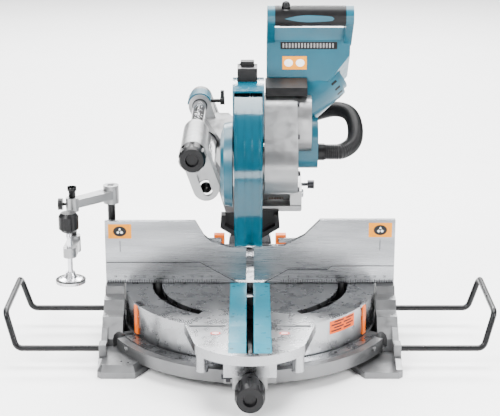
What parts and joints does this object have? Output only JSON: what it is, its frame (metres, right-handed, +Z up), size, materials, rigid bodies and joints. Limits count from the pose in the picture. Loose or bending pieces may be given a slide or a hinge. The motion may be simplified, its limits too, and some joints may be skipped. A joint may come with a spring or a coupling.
{
  "type": "sliding compound mitre saw",
  "caption": "Sliding compound mitre saw with round turn base, two-part fence, clamp, side work rests and a pivoting blade head on twin slide poles.",
  "frame": {"origin": "centre of the four bench bolt holes, on the plane of the feet", "axes": "+Z up along the mitre axis, -Y towards the user, +X to the user's right along the fence"},
  "size_m": [0.985, 0.845, 0.7171],
  "materials": {
    "cast_aluminium": "sandblasted casting",
    "machined_aluminium": "machined and brushed",
    "silver_paint": "fine metallic silver",
    "teal_paint": "semi-gloss",
    "teal_plastic": "fine texture",
    "teal_board": "smooth",
    "guard_plastic": "clear tinted plastic",
    "black_plastic": "fine texture",
    "soft_black": "soft grip",
    "black_steel": "gloss black",
    "bright_steel": "ground",
    "pole_chrome": "polished",
    "dark_steel": "blackened",
    "spring_steel": "oiled",
    "orange_plastic": "gloss",
    "copper_stack": "laminated"
  },
  "bodies": {
    "base": {"base_casting": "cast_aluminium", "mitre_scale": "machined_aluminium", "rubber_feet": "soft_black", "pivot_bolt": "dark_steel", "lower_fence": "machined_aluminium", "base_screws": "dark_steel", "vise_post": "black_steel"},
    "fence_left": {"upper_fence_left": "machined_aluminium"},
    "fence_right": {"upper_fence_right": "machined_aluminium"},
    "fence_lock_left": {"fence_clamp_left": "black_plastic"},
    "fence_lock_right": {"fence_clamp_right": "black_plastic"},
    "holder_left": {"wire_holder_left": "black_steel"},
    "holder_right": {"wire_holder_right": "black_steel"},
    "vise_top": {"vise_arm": "silver_paint"},
    "vise_lock": {"vise_thumb_screw": "black_plastic"},
    "vise_carrier": {"vise_lower_arm": "silver_paint"},
    "vise_screw": {"vise_spindle": "bright_steel", "vise_knob": "black_plastic"},
    "turn_base": {"turntable": "machined_aluminium", "kerf_boards": "teal_board", "mitre_pointers": "orange_plastic", "grip_bracket": "silver_paint"},
    "turn_grip": {"mitre_grip": "black_plastic"},
    "turn_lever": {"release_lever": "dark_steel"},
    "arm": {"bevel_arm": "cast_aluminium", "bevel_bolt": "dark_steel", "slide_poles": "pole_chrome", "pole_holder": "silver_paint"},
    "tilt_knob": {"bevel_knob": "black_plastic"},
    "slider": {"carriage": "silver_paint", "pole_bushes": "dark_steel", "carriage_cap": "teal_plastic", "pivot_pin": "bright_steel", "chop_spring": "spring_steel", "dust_guide": "soft_black"},
    "slider_lock": {"slide_lock": "black_plastic"},
    "depth_stop": {"stopper_pin": "dark_steel"},
    "head": {"gear_housing": "silver_paint", "gear_cover": "silver_paint", "drive_case": "teal_plastic", "blade_case": "teal_paint", "centre_cover": "teal_plastic", "nose_block": "black_plastic", "front_cover": "black_plastic", "motor_housing": "teal_plastic", "motor_end_cap": "teal_plastic", "handle_housing": "teal_plastic", "handle_grip": "soft_black", "dust_ports": "black_plastic", "dust_hose": "soft_black", "stator": "copper_stack", "arbor_bearings": "bright_steel"},
    "power_trigger": {"trigger": "black_plastic"},
    "safety_button": {"lock_off_button": "black_plastic"},
    "guard": {"lower_guard": "guard_plastic"},
    "cutter": {"arbor_shaft": "bright_steel", "blade": "bright_steel", "blade_clamp": "dark_steel"},
    "idler": {"idler_gear": "dark_steel"},
    "rotor": {"armature": "copper_stack"}
  },
  "joints": [
    {"name": "fence_left_slide", "type": "slide", "parent": "base", "child": "fence_left", "axis": [-1, 0, 0], "range_m": [0, 0.12]},
    {"name": "fence_right_slide", "type": "slide", "parent": "base", "child": "fence_right", "axis": [-1, 0, 0], "range_m": [-0.12, 0]},
    {"name": "fence_left_lock_turn", "type": "hinge", "parent": "base", "child": "fence_lock_left", "pos_m": [-0.23, 0.05, 0.17], "axis": [0, 1, 0], "range_deg": [0, 85]},
    {"name": "fence_right_lock_turn", "type": "hinge", "parent": "base", "child": "fence_lock_right", "pos_m": [0.23, 0.05, 0.17], "axis": [0, 1, 0], "range_deg": [0, 85]},
    {"name": "holder_left_slide", "type": "slide", "parent": "base", "child": "holder_left", "axis": [1, 0, 0], "range_m": [0, 0.12]},
    {"name": "holder_right_slide", "type": "slide", "parent": "base", "child": "holder_right", "axis": [1, 0, 0], "range_m": [-0.12, 0]},
    {"name": "vise_swing", "type": "hinge", "parent": "base", "child": "vise_top", "pos_m": [-0.288, 0.036, 0.3], "axis": [0, 0, -1], "range_deg": [-32, 12]},
    {"name": "vise_lock_turn", "type": "hinge", "parent": "vise_top", "child": "vise_lock", "pos_m": [-0.384, -0.034, 0.298], "axis": [1, 0, 0], "range_deg": [-90, 90]},
    {"name": "vise_height", "type": "slide", "parent": "vise_top", "child": "vise_carrier", "axis": [0, 0, 1], "range_m": [-0.008, 0.045]},
    {"name": "vise_clamp", "type": "slide", "parent": "vise_carrier", "child": "vise_screw", "axis": [0, 0, 1], "range_m": [-0.02, 0.02]},
    {"name": "mitre_turn", "type": "hinge", "parent": "base", "child": "turn_base", "pos_m": [0, 0, 0.06], "axis": [0, 0, -1], "range_deg": [-45, 45]},
    {"name": "mitre_grip_turn", "type": "hinge", "parent": "turn_base", "child": "turn_grip", "pos_m": [0, -0.38, 0.046], "axis": [0, 1, 0], "range_deg": [-180, 180]},
    {"name": "mitre_release", "type": "hinge", "parent": "turn_base", "child": "turn_lever", "pos_m": [-0.0415, -0.313, 0.042], "axis": [0, 1, 0], "range_deg": [-6, 6]},
    {"name": "bevel_tilt", "type": "hinge", "parent": "turn_base", "child": "arm", "pos_m": [0, 0.33, 0.115], "axis": [0, -1, 0], "range_deg": [-22, 22]},
    {"name": "bevel_knob_turn", "type": "hinge", "parent": "arm", "child": "tilt_knob", "pos_m": [-0.112, -0.12, 0.421], "axis": [0, 1, 0], "range_deg": [-180, 180]},
    {"name": "slide_travel", "type": "slide", "parent": "arm", "child": "slider", "axis": [0, -1, 0], "range_m": [0, 0.155]},
    {"name": "slide_lock_turn", "type": "hinge", "parent": "slider", "child": "slider_lock", "pos_m": [-0.07, 0.336, 0.427], "axis": [1, 0, 0], "range_deg": [0, 30]},
    {"name": "depth_stop_pull", "type": "slide", "parent": "slider", "child": "depth_stop", "axis": [1, 0, 0], "range_m": [-0.008, 0]},
    {"name": "chop", "type": "hinge", "parent": "slider", "child": "head", "pos_m": [0, 0.075, 0.291], "axis": [1, 0, 0], "range_deg": [0, 40], "stiffness_Nm_per_rad": 15, "springref_deg": -91.67},
    {"name": "trigger_pull", "type": "slide", "parent": "head", "child": "power_trigger", "axis": [0, -0.766, 0.6428], "range_m": [0, 0.005], "stiffness_N_per_m": 600},
    {"name": "safety_press", "type": "slide", "parent": "head", "child": "safety_button", "axis": [0, 0.5001, -0.866], "range_m": [0, 0.003], "stiffness_N_per_m": 400},
    {"name": "guard_swing", "type": "hinge", "parent": "head", "child": "guard", "pos_m": [0, -0.11529, 0.40446], "axis": [1, 0, 0], "range_deg": [-140, 0]},
    {"name": "blade_spin", "type": "hinge", "parent": "head", "child": "cutter", "pos_m": [0, -0.11529, 0.40446], "axis": [1, 0, 0], "continuous": true},
    {"name": "idler_spin", "type": "hinge", "parent": "head", "child": "idler", "pos_m": [0.045, -0.06876, 0.42755], "axis": [1, 0, 0], "continuous": true},
    {"name": "motor_spin", "type": "hinge", "parent": "head", "child": "rotor", "pos_m": [0.03, -0.03024, 0.44654], "axis": [0.7411, 0.3, 0.6006], "continuous": true}
  ],
  "couplings": [
    {"joint": "guard_swing", "follows": "chop", "ratio": -3.5},
    {"joint": "idler_spin", "follows": "blade_spin", "ratio": -2},
    {"joint": "motor_spin", "follows": "blade_spin", "ratio": 6.8}
  ]
}
